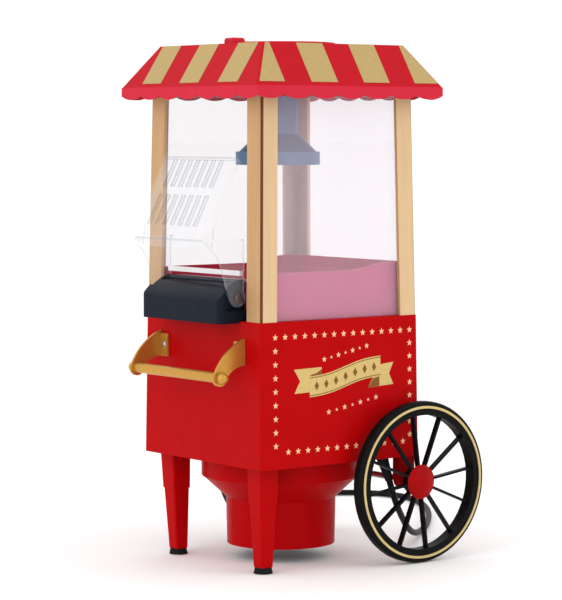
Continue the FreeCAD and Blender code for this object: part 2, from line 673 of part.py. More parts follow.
def popping_chamber():
    """The aluminium pot that kernels lie in, with air slots round its foot."""
    r = CHAMBER_R
    w = CHAMBER_WALL
    pot = post_of(r, CHAMBER_Z0, BASIN_FLOOR + 1.4).cut(post_of(r - w, CHAMBER_Z0 + w, 260))
    lip = pipe(CHAMBER_LIP_R, r - w, BASIN_FLOOR + 0.2, BASIN_FLOOR + 1.4)
    pot = pot.fuse(lip)
    for k in range(12):
        slot = block(r - 4, r + 2, -1.0, 1.0, CHAMBER_Z0 + 4, CHAMBER_Z0 + 12)
        slot.rotate(Vector(0, 0, 0), Vector(0, 0, 1), 30.0 * k)
        pot = pot.cut(slot)
    return pot.removeSplitter()


def chamber_collar():
    return pipe(CHAMBER_LIP_R, CHAMBER_R + 0.4, DUCT_Z1, BASIN_FLOOR - BASIN_WALL - 0.2)


def heater_boards():
    """Two crossed insulating boards."""
    flat = block(-30, 30, -0.5, 0.5, 96, 126)
    cross = block(-0.5, 0.5, -30, 30, 96, 126)
    return flat.fuse(cross).cut(post_of(5, 90, 110)).removeSplitter()


def heater_coil():
    rings = []
    for z in (102.0, 111.0, 120.0):
        rings.append(Part.makeTorus(32.4, 1.6, Vector(0, 0, z), Vector(0, 0, 1)))
    return Part.makeCompound(rings)


def air_duct():
    duct = pipe(DUCT_R, DUCT_R - DUCT_WALL, DUCT_Z0, DUCT_Z1 - 0.2)
    foot = pipe(DUCT_R + 6, DUCT_R - DUCT_WALL, DUCT_Z0, DUCT_Z0 + 2)
    return duct.fuse(foot).removeSplitter()


def motor_body():
    body = post_of(MOTOR_R, MOTOR_Z0, MOTOR_Z1)
    body = body.fuse(post_of(6, MOTOR_Z0 - 3, MOTOR_Z0))
    for side in (-1, 1):
        y0, y1 = sorted((side * (MOTOR_R - 2), side * (MOTOR_R + 4)))
        body = body.fuse(block(-5, 5, y0, y1, MOTOR_Z0 + 4, MOTOR_Z0 + 16))
    return body.cut(post_of(SHAFT_R + RUNNING_GAP, MOTOR_Z0 + 10, MOTOR_Z1 + 1)).removeSplitter()


def motor_bracket():
    """A three-armed spider that hangs the motor in the pedestal."""
    z0, z1 = MOTOR_Z1 + 0.1, MOTOR_Z1 + 2.6
    spider = pipe(MOTOR_R, 7, z0, z1)
    for k in range(3):
        arm = block(MOTOR_R - 3, PEDESTAL_R - PEDESTAL_WALL - 0.2, -5, 5, z0, z1)
        arm.rotate(Vector(0, 0, 0), Vector(0, 0, 1), 120.0 * k)
        spider = spider.fuse(arm)
    return spider.removeSplitter()


def fan_impeller():
    """A hub, a back plate and swept blades."""
    fan = post_of(6, FAN_Z0, FAN_Z1).fuse(post_of(FAN_R, FAN_Z0, FAN_Z0 + 1.4))
    for k in range(9):
        blade = block(8, FAN_R, -0.7, 0.7, FAN_Z0 + 1, FAN_Z1)
        blade.rotate(Vector(8, 0, 0), Vector(0, 0, 1), 24)
        blade.rotate(Vector(0, 0, 0), Vector(0, 0, 1), 40.0 * k)
        fan = fan.fuse(blade.common(post_of(FAN_R, FAN_Z0, FAN_Z1)))
    return fan.cut(post_of(SHAFT_R, FAN_Z0 - 1, FAN_Z1 + 1)).removeSplitter()


def motor_shaft():
    return post_of(SHAFT_R, MOTOR_Z0 + 12, FAN_Z1 + 2)


def thermostat():
    base = rod_x(8, DUCT_R + 0.4, DUCT_R + 5, 0, 150)
    return base.fuse(block(DUCT_R + 5, DUCT_R + 8, -3, 3, 147, 153)).removeSplitter()


def thermal_fuse():
    return Part.makeCylinder(2.2, 16, Vector(0, DUCT_R + 3.2, 142), Vector(0, 0, 1))


def terminal_block():
    body = block(50, 68, -34, -10, 84, 96)
    for y in (-30.0, -22.0, -14.0):
        body = body.cut(post_of(2.0, 90, 100, 59, y))
    return body


def inner_wires():
    """Leads from the terminal block to the switch, the thermostat and the fuse."""
    runs = [
        [(59, -30, 96.5), (59, -30, 112), (60, 26, 124), (57, 45, 142)],
        [(59, -22, 96.5), (59, -22, 108), (56, -12, 130), (53.2, 0, 150)],
        [(59, -14, 96.5), (59, -14, 104), (53, 20, 116), (24, 52, 140)],
    ]
    wires = []
    for route in runs:
        points = [Vector(*p) for p in route]
        for a, b in zip(points, points[1:]):
            wires.append(Part.makeCylinder(1.0, (b - a).Length, a, b - a))
            wires.append(Part.makeSphere(1.0, b))
    return wires[0].multiFuse(wires[1:]).removeSplitter()


def switch_housing():
    x = body_half(SWITCH_Z)
    bezel = switch_box(1.8, x + 0.1, x + 1.6)
    body = switch_box(-0.2, x - 14, x + 0.2)
    hollow = switch_box(-1.6, x - 8, x + 5)
    bore = rod_y(ROCKER_PIN_R + RUNNING_GAP, SWITCH_Y - 9.7, SWITCH_Y + 9.7, x - 0.5, SWITCH_Z)
    return bezel.fuse(body).cut(hollow).cut(bore).removeSplitter()


def power_rocker():
    """A two-position rocker that tips about a level axis."""
    x = body_half(SWITCH_Z)
    half = 10.5 - 2.2
    outline = [(x - 3.0, SWITCH_Z - 4.4), (x + 1.2, SWITCH_Z - 4.6), (x + 2.0, SWITCH_Z),
               (x + 3.4, SWITCH_Z + 4.6), (x - 3.0, SWITCH_Z + 4.4)]
    rocker = side_outline(outline, SWITCH_Y - half, SWITCH_Y + half)
    pin = rod_y(ROCKER_PIN_R, SWITCH_Y - 9.6, SWITCH_Y + 9.6, x - 0.5, SWITCH_Z)
    return rocker.fuse(pin).removeSplitter()


def cord_gland():
    """A tapered strain relief that leans out of the cabinet's underside."""
    top = Vector(*GLAND_AT)
    end = Vector(*CORD_ROUTE[0])
    lean = (end - top).normalize()
    start = top - lean * 5.0
    cone = Part.makeCone(5.2, 3.1, (end - start).Length, start, lean)
    cone = cone.cut(block(20, 90, -90, -30, BODY_Z0, BODY_Z0 + 20))
    neck = post_of(4.2, BODY_Z0 - 2, BODY_Z0 + 7, GLAND_AT[0], GLAND_AT[1])
    nut = post_of(6.6, BODY_Z0 + 3.1, BODY_Z0 + 6, GLAND_AT[0], GLAND_AT[1])
    return cone.fuse(neck).fuse(nut).removeSplitter()


def routed_tube(route, radius):
    """A round tube along straight runs joined by tangent arcs; returns it and its arcs' radii."""
    points = [Vector(*p) for p in route]
    edges = []
    radii = []
    start = points[0]
    for before, here, after in zip(points, points[1:], points[2:]):
        to = (here - before).normalize()
        out = (after - here).normalize()
        half_turn = to.getAngle(out) / 2
        back = 0.45 * min((here - before).Length, (after - here).Length)
        bend = back / math.tan(half_turn)
        first = here - to * back
        last = here + out * back
        middle = (out - to).normalize()
        inward = here + middle * (bend / math.cos(half_turn) - bend)
        edges.append(Part.LineSegment(start, first).toShape())
        edges.append(Part.Arc(first, inward, last).toShape())
        radii.append(round(bend, 1))
        start = last
    edges.append(Part.LineSegment(start, points[-1]).toShape())
    path = Part.Wire(edges)
    ring = Part.Circle(points[0], points[1] - points[0], radius).toShape()
    tube = path.makePipeShell([Part.Wire(ring)], True, False)
    print("cord length", round(path.Length, 1), "arc radii", radii,
          "volume share", round(tube.Volume / (math.pi * radius ** 2 * path.Length), 4))
    return tube


def power_cord():
    return routed_tube(CORD_ROUTE, CORD_D / 2)


def cord_coil():
    """The outer shape of the tied turns."""
    half = COIL_BUNDLE / 2
    ring = post_of(COIL_MID_R + half, 0.1, COIL_BUNDLE, COIL_X, COIL_Y)
    return ring.cut(post_of(COIL_MID_R - half, -1, 20, COIL_X, COIL_Y))


def cord_plug():
    """A two-pin plug that lies along the coil's side."""
    long, wide, high = PLUG_SIZE
    x0 = COIL_X + COIL_MID_R
    z0 = COIL_BUNDLE + 0.1
    grip = block(x0 - wide / 2, x0 + wide / 2, PLUG_REAR_Y, PLUG_REAR_Y + long, z0, z0 + high)
    grip = grip.makeFillet(5.0, [e for e in grip.Edges if abs(e.tangentAt(e.FirstParameter).y) > 0.9])
    for side in (-6.35, 6.35):
        grip = grip.fuse(block(x0 + side - 0.8, x0 + side + 0.8, PLUG_REAR_Y + long - 1, PLUG_REAR_Y + long + 16,
                               z0 + high / 2 - 3.2, z0 + high / 2 + 3.2))
    return grip.removeSplitter()


def all_nodes():
    """Every node's name and shape."""
    nodes = {
        "body_shell": body_shell(),
        "base_plate": base_plate(),
        "base_screws": base_screws(),
        "motor_pedestal": motor_pedestal(),
        "intake_grille": intake_grille(),
        "rubber_feet": rubber_feet(),
        "wheel_axle": wheel_axle(),
        "axle_nuts": axle_nuts(),
        "window_left": pane(0),
        "window_rear": pane(1),
        "window_right": pane(2),
        "popcorn_basin": popcorn_basin(),
        "front_chute": front_chute(),
        "guard_hood": guard_hood(),
        "guard_pivots": guard_pivots(),
        "handle_bar": handle_bar(),
        "handle_finials": handle_finials(),
        "handle_screws": handle_screws(),
        "kernel_funnel": kernel_funnel(),
        "roof_frame": roof_frame(),
        "roof_canopy": roof_canopy(),
        "roof_valance": roof_valance(),
        "measuring_cup": measuring_cup(),
        "popping_chamber": popping_chamber(),
        "chamber_collar": chamber_collar(),
        "heater_boards": heater_boards(),
        "heater_coil": heater_coil(),
        "air_duct": air_duct(),
        "motor_body": motor_body(),
        "motor_bracket": motor_bracket(),
        "motor_shaft": motor_shaft(),
        "fan_impeller": fan_impeller(),
        "thermostat": thermostat(),
        "thermal_fuse": thermal_fuse(),
        "terminal_block": terminal_block(),
        "inner_wires": inner_wires(),
        "switch_housing": switch_housing(),
        "power_rocker": power_rocker(),
        "cord_gland": cord_gland(),
        "power_cord": power_cord(),
        "cord_coil": cord_coil(),
        "cord_plug": cord_plug(),
    }
    paired = {
        "front_leg": front_leg(),
        "axle_bracket": axle_bracket(),
        "wheel": wheel(),
        "wheel_ring": gold_ring(),
        "hub_cap": hub_cap(),
        "handle_arm": handle_arm(),
    }
    for name, shape in paired.items():
        nodes[name + "_left"] = shape
        nodes[name + "_right"] = mirrored(shape)
    for end, side_x in (("front", -1), ("rear", 1)):
        for side, side_y in (("left", -1), ("right", 1)):
            nodes["post_" + end + "_" + side] = post(side_x, side_y)
    return nodes


os.makedirs("parts", exist_ok=True)
for node_name, node_shape in all_nodes().items():
    node_shape.translate(Vector(ORIGIN_SHIFT_X, 0, 0))
    node_shape.exportStep("parts/" + node_name + ".step")
    box = node_shape.BoundBox
    print(node_name, "solids", len(node_shape.Solids), "valid", node_shape.isValid(),
          "x", round(box.XMin, 1), round(box.XMax, 1), "y", round(box.YMin, 1), round(box.YMax, 1),
          "z", round(box.ZMin, 1), round(box.ZMax, 1))
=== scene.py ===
import json
import math

import bmesh
import bpy
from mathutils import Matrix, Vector


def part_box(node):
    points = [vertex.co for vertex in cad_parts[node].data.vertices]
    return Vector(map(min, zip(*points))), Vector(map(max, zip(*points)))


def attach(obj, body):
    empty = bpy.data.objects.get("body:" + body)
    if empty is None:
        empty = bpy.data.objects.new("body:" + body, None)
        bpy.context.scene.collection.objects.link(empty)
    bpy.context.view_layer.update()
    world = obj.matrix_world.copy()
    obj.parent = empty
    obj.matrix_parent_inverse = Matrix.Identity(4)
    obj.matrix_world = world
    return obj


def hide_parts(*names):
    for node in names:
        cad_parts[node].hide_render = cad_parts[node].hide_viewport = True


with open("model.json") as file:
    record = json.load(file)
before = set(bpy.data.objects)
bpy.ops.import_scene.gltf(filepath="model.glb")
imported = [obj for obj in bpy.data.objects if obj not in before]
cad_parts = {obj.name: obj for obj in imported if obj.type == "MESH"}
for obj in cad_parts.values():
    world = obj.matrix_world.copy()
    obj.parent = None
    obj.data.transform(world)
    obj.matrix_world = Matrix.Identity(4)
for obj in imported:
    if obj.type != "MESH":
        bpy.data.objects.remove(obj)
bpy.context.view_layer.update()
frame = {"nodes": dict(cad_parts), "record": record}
NODES = frame["nodes"]
MM = 0.001


def box_mm(node_name):
    """A node's lowest and highest corners at rest, to a tenth of a millimetre."""
    low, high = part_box(node_name)
    return [round(v / MM, 1) for v in low], [round(v / MM, 1) for v in high]


# points of the cord, stripes and print are in millimetres, with x from the cabinet's middle,
# which the frame has at SHIFT_X; what is compared with a mesh's faces is in metres, in the frame
BODY_LOW, BODY_HIGH = box_mm("body_shell")
ROOF_LOW, ROOF_HIGH = box_mm("roof_canopy")
COIL_LOW, COIL_HIGH = box_mm("cord_coil")
SHIFT_X = round((BODY_LOW[0] + BODY_HIGH[0]) / 2, 1)

# ---------------------------------------------------------------- camera
CAMERA_AT = Vector((-1.1736, -1.5448, 0.3296))
CAMERA_YAW = math.radians(37.12)
CAMERA_DOWN = math.radians(3.85)
LENS = 150.44
SENSOR_WIDTH = 36.0

camera_data = bpy.data.cameras.new("camera")
camera_data.lens = LENS
camera_data.sensor_width = SENSOR_WIDTH
camera_data.sensor_fit = "AUTO"
camera = bpy.data.objects.new("camera", camera_data)
bpy.context.scene.collection.objects.link(camera)
camera.location = CAMERA_AT
aim = Vector((math.sin(CAMERA_YAW) * math.cos(CAMERA_DOWN),
              math.cos(CAMERA_YAW) * math.cos(CAMERA_DOWN), -math.sin(CAMERA_DOWN)))
camera.rotation_mode = "QUATERNION"
camera.rotation_quaternion = aim.to_track_quat("-Z", "Y")
bpy.context.scene.camera = camera


# ---------------------------------------------------------------- materials
NOISE_DETAIL = 3.0
RAMP_LOW, RAMP_HIGH = 0.3, 0.7
ROUGH_SPREAD = 0.05
RELIEF_DEPTH = 0.0004
COAT_ROUGH = 0.08


def srgb(red, green, blue):
    """A linear colour from 0-255 display values."""
    def one(v):
        v = v / 255.0
        return v / 12.92 if v <= 0.04045 else ((v + 0.055) / 1.055) ** 2.4
    return (one(red), one(green), one(blue), 1.0)


def tinted(colour, share):
    """The colour made darker or lighter by a share."""
    return tuple(min(1.0, c * share) for c in colour[:3]) + (1.0,)


def finish(name, colour, rough=0.4, metallic=0.0, coat=0.0, vary=0.06, grain=180.0, bump=0.02,
           alpha=1.0, stretch=(1, 1, 1), specular=0.12):
    """A procedural surface: colour and roughness vary softly, with a fine relief."""
    mat = bpy.data.materials.new(name)
    mat.use_nodes = True
    nodes = mat.node_tree.nodes
    links = mat.node_tree.links
    shader = nodes["Principled BSDF"]
    coords = nodes.new("ShaderNodeTexCoord")
    mapping = nodes.new("ShaderNodeMapping")
    mapping.inputs["Scale"].default_value = stretch
    links.new(coords.outputs["Object"], mapping.inputs["Vector"])
    noise = nodes.new("ShaderNodeTexNoise")
    noise.inputs["Scale"].default_value = grain
    noise.inputs["Detail"].default_value = NOISE_DETAIL
    links.new(mapping.outputs["Vector"], noise.inputs["Vector"])
    ramp = nodes.new("ShaderNodeValToRGB")
    ramp.color_ramp.elements[0].position = RAMP_LOW
    ramp.color_ramp.elements[1].position = RAMP_HIGH
    ramp.color_ramp.elements[0].color = tinted(colour, 1.0 - vary)
    ramp.color_ramp.elements[1].color = tinted(colour, 1.0 + vary)
    links.new(noise.outputs["Fac"], ramp.inputs["Fac"])
    links.new(ramp.outputs["Color"], shader.inputs["Base Color"])
    spread = nodes.new("ShaderNodeMapRange")
    spread.inputs["To Min"].default_value = max(0.0, rough - ROUGH_SPREAD)
    spread.inputs["To Max"].default_value = rough + ROUGH_SPREAD
    links.new(noise.outputs["Fac"], spread.inputs["Value"])
    links.new(spread.outputs["Result"], shader.inputs["Roughness"])
    if bump > 0:
        relief = nodes.new("ShaderNodeBump")
        relief.inputs["Strength"].default_value = bump
        relief.inputs["Distance"].default_value = RELIEF_DEPTH
        links.new(noise.outputs["Fac"], relief.inputs["Height"])
        links.new(relief.outputs["Normal"], shader.inputs["Normal"])
    shader.inputs["Metallic"].default_value = metallic
    shader.inputs["Coat Weight"].default_value = coat
    shader.inputs["Coat Roughness"].default_value = COAT_ROUGH
    shader.inputs["Alpha"].default_value = alpha
    shader.inputs["Specular IOR Level"].default_value = specular
    return mat


RED = finish("red_plastic", srgb(176, 5, 9), rough=0.36, grain=60, vary=0.04, specular=0.03)
# hub caps: a darker red, painted shade on the domed caps
RED_CAP_PAINTED_SHADE = finish("red_cap_painted_shade", srgb(158, 8, 12), rough=0.4, grain=120, vary=0.06, specular=0.05)
RED_DARK = finish("deep_red", srgb(140, 3, 8), rough=0.45, grain=60, specular=0.04)
RED_ROOF = finish("roof_red", srgb(184, 18, 32), rough=0.5, grain=90, vary=0.04, specular=0.06)
RED_SKIRT = finish("valance_red", srgb(200, 38, 58), rough=0.5, grain=90, vary=0.05, specular=0.08)
BASIN = finish("basin_red", srgb(180, 40, 66), rough=0.35, grain=70)
# basin side walls: lighter and pinker, a painted reflection of the clear windows in front of them
BASIN_SIDE_PAINTED_REFLECTION = finish("basin_side_painted_reflection", srgb(184, 62, 104), rough=0.35, grain=70)
STRIPE = finish("stripe_gold", srgb(180, 154, 100), rough=0.42, metallic=0.1, grain=500, vary=0.05)
POST = finish("post_gold", srgb(212, 180, 138), rough=0.42, metallic=0.1, grain=240, vary=0.05,
              stretch=(1, 1, 0.05))
# post faces along X: a darker gold, painted shade
POST_PAINTED_SHADE = finish("post_gold_painted_shade", srgb(192, 152, 108), rough=0.42, metallic=0.1, grain=240, vary=0.05,
                    stretch=(1, 1, 0.05))
HANDLE = finish("handle_gold", srgb(196, 146, 66), rough=0.3, metallic=0.6, grain=300, vary=0.06)
# post corner groove: dark brown, painted shade in the groove
POST_GROOVE_PAINTED_SHADE = finish("post_groove_painted_shade", srgb(120, 80, 46), rough=0.6, grain=240, vary=0.1)
RING = finish("ring_gold", srgb(206, 184, 128), rough=0.38, metallic=0.5, grain=300, vary=0.06)
KETTLE = finish("kettle_grey", srgb(88, 118, 148), rough=0.42, metallic=0.1, grain=220, vary=0.05)
CHUTE = finish("chute_black", srgb(20, 26, 37), rough=0.22, coat=0.04, grain=90, vary=0.15, specular=0.05)
WHEEL = finish("wheel_black", srgb(15, 15, 17), rough=0.42, grain=260, vary=0.2, bump=0.05, specular=0.06)
RUBBER = finish("rubber", srgb(24, 24, 26), rough=0.75, grain=700, vary=0.2, bump=0.15)
BLACK = finish("black_plastic", srgb(24, 24, 26), rough=0.5, grain=400, vary=0.15, bump=0.06)
STEEL = finish("steel", srgb(176, 176, 180), rough=0.34, metallic=0.95, grain=300, vary=0.08,
               stretch=(1, 1, 0.1))
ALUMINIUM = finish("aluminium", srgb(206, 206, 208), rough=0.3, metallic=0.95, grain=300, vary=0.06)
MICA = finish("mica", srgb(198, 188, 160), rough=0.7, grain=500, vary=0.12, bump=0.1)
BRASS = finish("brass", srgb(196, 160, 88), rough=0.35, metallic=0.9, grain=300)
WIRE = finish("wire", srgb(150, 40, 30), rough=0.5, grain=300)
CORD = finish("cord_black", srgb(18, 18, 20), rough=0.5, grain=600, vary=0.2, bump=0.05)
WINDOW = finish("clear_panel", srgb(246, 234, 250), rough=0.06, alpha=0.12, grain=8, vary=0.01, bump=0.0)
GUARD = finish("clear_guard", srgb(236, 240, 246), rough=0.08, alpha=0.07, grain=20, vary=0.03, bump=0.0)
# guard cut edges and slot walls: grey and more opaque, painted reflection
GUARD_EDGE_PAINTED_REFLECTION = finish("clear_guard_edge_painted_reflection", srgb(170, 176, 186), rough=0.15, alpha=0.38, grain=20, vary=0.03,
                    bump=0.0)
# clear cross rail: white and nearly opaque, a painted highlight
GUARD_RAIL_PAINTED_HIGHLIGHT = finish("clear_guard_rail_painted_highlight", srgb(246, 244, 246), rough=0.2, alpha=0.8, grain=20, vary=0.02,
                    bump=0.0)
PRINT = finish("print_gold", srgb(243, 186, 140), rough=0.4, grain=500, vary=0.06)
BANNER = finish("banner_gold", srgb(206, 178, 112), rough=0.4, metallic=0.1, grain=400, vary=0.06)
BANNER_DARK = finish("banner_shade", srgb(128, 84, 36), rough=0.45, grain=400, vary=0.08)

BY_SLOT = {
    "red_plastic": RED, "deep_red": RED_DARK, "post_gold": POST, "handle_gold": HANDLE,
    "ring_gold": RING, "canopy_stripe": RED_ROOF, "valance_red": RED_SKIRT, "clear_panel": WINDOW,
    "clear_guard": GUARD, "kettle_grey": KETTLE, "chute_black": CHUTE, "wheel_black": WHEEL,
    "rubber": RUBBER, "steel": STEEL, "aluminium": ALUMINIUM, "basin_red": BASIN,
    "black_plastic": BLACK, "mica": MICA, "brass": BRASS, "cord_black": CORD, "wire": WIRE,
}
SLOT_OF = {s["node"]: s["material_slot"] for s in frame["record"]["subparts"]}
for node_name, node in NODES.items():
    node.data.materials.clear()
    node.data.materials.append(BY_SLOT[SLOT_OF[node_name]])


# the guard: clear sheet, its cut edges painted greyer and more opaque as a painted reflection, and its
# clear cross rail painted white as a painted highlight
SAME_WAY = 0.97
PLATE_NORMAL = Vector((-0.889, 0.0, 0.458))
CHEEK_Y = 0.040
RIM_Z0, RIM_Z1 = 0.2479, 0.2505
SKIRT_X = -0.12
RAIL_X0, RAIL_X1 = -0.0784, -0.0754
RAIL_Z0, RAIL_Z1 = 0.2224, 0.2264
RAIL_HALF = 0.0475


def is_sheet_face(polygon):
    """True for the guard's broad faces, false for its cut edges and slot walls."""
    normal, centre = polygon.normal, polygon.center
    on_plate = abs(normal.dot(PLATE_NORMAL)) > SAME_WAY
    on_cheek = abs(normal.y) > SAME_WAY and abs(centre.y) > CHEEK_Y
    on_rim = abs(normal.z) > SAME_WAY and RIM_Z0 < centre.z < RIM_Z1
    on_skirt = abs(normal.x) > SAME_WAY and centre.x < SKIRT_X
    return on_plate or on_cheek or on_rim or on_skirt


def is_rail_face(polygon):
    """True for the cross rail between the guard's cheeks."""
    centre = polygon.center
    in_section = RAIL_Z0 < centre.z < RAIL_Z1 and RAIL_X0 < centre.x < RAIL_X1
    return in_section and abs(centre.y) < RAIL_HALF


guard_mesh = NODES["guard_hood"].data
guard_mesh.materials.append(GUARD_EDGE_PAINTED_REFLECTION)
guard_mesh.materials.append(GUARD_RAIL_PAINTED_HIGHLIGHT)
# rail faces get the painted highlight, cut edges and slot walls the painted reflection
for polygon in guard_mesh.polygons:
    if is_rail_face(polygon):
        polygon.material_index = 2
    else:
        polygon.material_index = 0 if is_sheet_face(polygon) else 1

# faces that look along X or Y: a post's are painted darker along X, painted shade, and its corner groove
# is painted darkest, painted shade in the groove;
# the basin's outer side walls are painted lighter and pinker, a painted reflection of the clear windows in
# front of them
FACING = 0.7
GROOVE_OUT = 0.0692
BASIN_WALL_Y = 0.0665
UPRIGHT = 0.5
for node_name in ("post_front_left", "post_front_right", "post_rear_left", "post_rear_right"):
    post_mesh = NODES[node_name].data
    post_mesh.materials.append(POST_PAINTED_SHADE)
    post_mesh.materials.append(POST_GROOVE_PAINTED_SHADE)
    for polygon in post_mesh.polygons:
        polygon.material_index = 1 if abs(polygon.normal.x) > FACING else 0
        out_x, out_y = abs(polygon.center.x - SHIFT_X * MM), abs(polygon.center.y)
        in_groove = out_x > GROOVE_OUT and out_y > GROOVE_OUT
        if in_groove and abs(polygon.normal.z) < UPRIGHT:
            polygon.material_index = 2
# the basin's side walls get the painted window reflection
basin_mesh = NODES["popcorn_basin"].data
basin_mesh.materials.append(BASIN_SIDE_PAINTED_REFLECTION)
for polygon in basin_mesh.polygons:
    on_side = abs(polygon.normal.y) > FACING and abs(polygon.center.y) > BASIN_WALL_Y
    polygon.material_index = 1 if on_side else 0
# the hub caps get the darker red, painted shade
for node_name in ("hub_cap_left", "hub_cap_right"):
    NODES[node_name].data.materials[0] = RED_CAP_PAINTED_SHADE


# ---------------------------------------------------------------- cord
CORD_D = 0.005
LIE = 2.6
ROUTE = [
    (58.0, -62.0, 61.0), (65.0, -60.0, 45.0), (80.0, -50.0, 30.0), (100.0, -35.0, 15.0),
    (130.0, -10.0, 5.0), (175.0, 30.0, LIE), (225.0, 85.0, LIE), (255.0, 130.0, LIE),
    (270.0, 170.0, LIE), (260.0, 205.0, LIE), (230.0, 230.0, LIE), (190.0, 230.0, LIE),
    (150.0, 220.0, LIE),
]
COIL_X = round((COIL_LOW[0] + COIL_HIGH[0]) / 2 - SHIFT_X, 1)
COIL_Y = round((COIL_LOW[1] + COIL_HIGH[1]) / 2, 1)
COIL_R = 31.0
OUTER_TURN_R, INNER_TURN_R = 33.4, 28.5
TOP_TURN_Z = 7.1
TURN_START = 112.0
TURN_STEP = 24.0
TURN_STEPS = 15
TOP_STEPS = 6


def coil_points():
    """Two flat turns, one inside the other, then part of a turn that lies on top of them."""
    points = []
    for k in range(TURN_STEPS + 1):
        points.append((TURN_START + TURN_STEP * k, OUTER_TURN_R, LIE))
    for k in range(1, TURN_STEPS + 1):
        points.append((TURN_START + TURN_STEP * k, INNER_TURN_R, LIE))
    for k in range(1, TOP_STEPS + 1):
        points.append((TURN_START + TURN_STEP * k, COIL_R, TOP_TURN_Z))
    return [(COIL_X + r * math.cos(math.radians(a)), COIL_Y + r * math.sin(math.radians(a)), z)
            for a, r, z in points]


# from the top of the coil up to the plug
TAIL = [
    (127.0, 145.6, 7.6), (141.0, 146.6, 10.6), (152.6, 152.4, 16.6),
    (COIL_X + COIL_R, 162.5, 18.9),
]


def cord_curve(name, points):
    """One open spline of cord, shaped by points in millimetres."""
    data = bpy.data.curves.new(name, "CURVE")
    data.dimensions = "3D"
    data.bevel_depth = CORD_D / 2
    data.bevel_resolution = 6
    data.resolution_u = 10
    data.use_fill_caps = True
    spline = data.splines.new("NURBS")
    spline.points.add(len(points) - 1)
    for point, (x, y, z) in zip(spline.points, points):
        point.co = ((x + SHIFT_X) * MM, y * MM, z * MM, 1.0)
    spline.order_u = 3
    spline.use_endpoint_u = True
    obj = bpy.data.objects.new(name, data)
    bpy.context.scene.collection.objects.link(obj)
    return obj


cord = cord_curve("mains_cord", ROUTE + coil_points() + TAIL)
cord.data.materials.append(CORD)
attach(cord, "cart")
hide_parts("power_cord", "cord_coil")


# ---------------------------------------------------------------- thin printed pieces
def both_sides(polygons):
    """The polygons and their mirror images on the right side."""
    mirrored = []
    for ring, out in polygons:
        mirrored.append(([(x, -y, z) for x, y, z in ring], (out[0], -out[1], out[2])))
    return polygons + mirrored


def sheet_piece(name, polygons, material, thick=0.25):
    """Thin solid pieces, each from a ring of points in millimetres and the way it faces."""
    mesh = bpy.data.meshes.new(name)
    bm = bmesh.new()
    for polygon, normal in polygons:
        out = Vector(normal).normalized() * thick
        low = [bm.verts.new(((x + SHIFT_X) * MM, y * MM, z * MM)) for x, y, z in polygon]
        high = [bm.verts.new(v.co + out * MM) for v in low]
        bm.faces.new(high)
        for k in range(len(low)):
            j = (k + 1) % len(low)
            bm.faces.new((low[k], low[j], high[j], high[k]))
    bmesh.ops.recalc_face_normals(bm, faces=bm.faces)
    bmesh.ops.triangulate(bm, faces=[f for f in bm.faces if len(f.verts) > 4])
    bm.to_mesh(mesh)
    bm.free()
    obj = bpy.data.objects.new(name, mesh)
    bpy.context.scene.collection.objects.link(obj)
    mesh.materials.append(material)
    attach(obj, "cart")
    return obj


# canopy stripes
EAVE_Z, EAVE_HALF = ROOF_LOW[2], ROOF_HIGH[1]
TOP_Z, TOP_HALF = ROOF_HIGH[2], 67.0
STRIPE_W = 24.7
STRIPE_FOOT, STRIPE_HEAD = 365.8, TOP_Z - 0.1
# a slope's stripes, from edge to edge, in stripe widths from its middle
STRIPES_BY_Y = [(-3.6, -2.5), (-1.5, -0.5), (0.5, 1.5), (2.5, 3.6)]
STRIPES_BY_X = [(-2.5, -1.5), (-0.5, 0.5), (1.5, 2.5)]
HIP_GAP = 1.6
LIFT = 0.05


def slope_half(z):
    """Half the roof's width at a height."""
    return EAVE_HALF + (TOP_HALF - EAVE_HALF) * (z - EAVE_Z) / (TOP_Z - EAVE_Z)


def hip_limit(z):
    """How far along a slope a stripe may reach before the hip."""
    return slope_half(z) - HIP_GAP


def within_hips(spread, z):
    """The two ends of a stripe, cut off at the hips."""
    limit = hip_limit(z)
    return [max(-limit, min(limit, STRIPE_W * v)) for v in spread]


def slope_point(side, along, z):
    """A point on a slope: side 0 is -Y, 1 +X, 2 +Y, 3 -X."""
    out = slope_half(z) + LIFT
    x, y = along, -out
    for _ in range(side):
        x, y = -y, x
    return (x, y, z)


def slope_normal(side):
    """The way a slope faces, upward and outward."""
    x, y, z = 0.0, -(TOP_Z - EAVE_Z), EAVE_HALF - TOP_HALF
    for _ in range(side):
        x, y = -y, x
    return (x, y, z)


stripes = []
for side in range(4):
    for spread in STRIPES_BY_Y if side % 2 == 0 else STRIPES_BY_X:
        foot = within_hips(spread, STRIPE_FOOT)
        head = within_hips(spread, TOP_Z)
        ring = [slope_point(side, foot[0], STRIPE_FOOT), slope_point(side, foot[1], STRIPE_FOOT),
                slope_point(side, head[1], STRIPE_HEAD), slope_point(side, head[0], STRIPE_HEAD)]
        stripes.append((ring, slope_normal(side)))
sheet_piece("canopy_stripes", stripes, STRIPE)

# printed stars and ribbon on the left side
BODY_Z0, BODY_Z1 = BODY_LOW[2], BODY_HIGH[2]
BODY_HALF_LOW, BODY_HALF_HIGH = BODY_HIGH[1], 74.6
PRINT_LIFT = 0.03
INNER_REACH = 0.45


def panel_point(x, z):
    """A point of the print, just off the tapered side of the cabinet."""
    share = (z - BODY_Z0) / (BODY_Z1 - BODY_Z0)
    return (x, -(BODY_HALF_LOW + (BODY_HALF_HIGH - BODY_HALF_LOW) * share) - PRINT_LIFT, z)


def star(x, z, r):
    """The outline of a five-pointed star, point up."""
    ring = []
    for k in range(10):
        a = math.radians(90 + 36 * k)
        reach = r if k % 2 == 0 else r * INNER_REACH
        ring.append(panel_point(x + reach * math.cos(a), z + reach * math.sin(a)))
    return ring


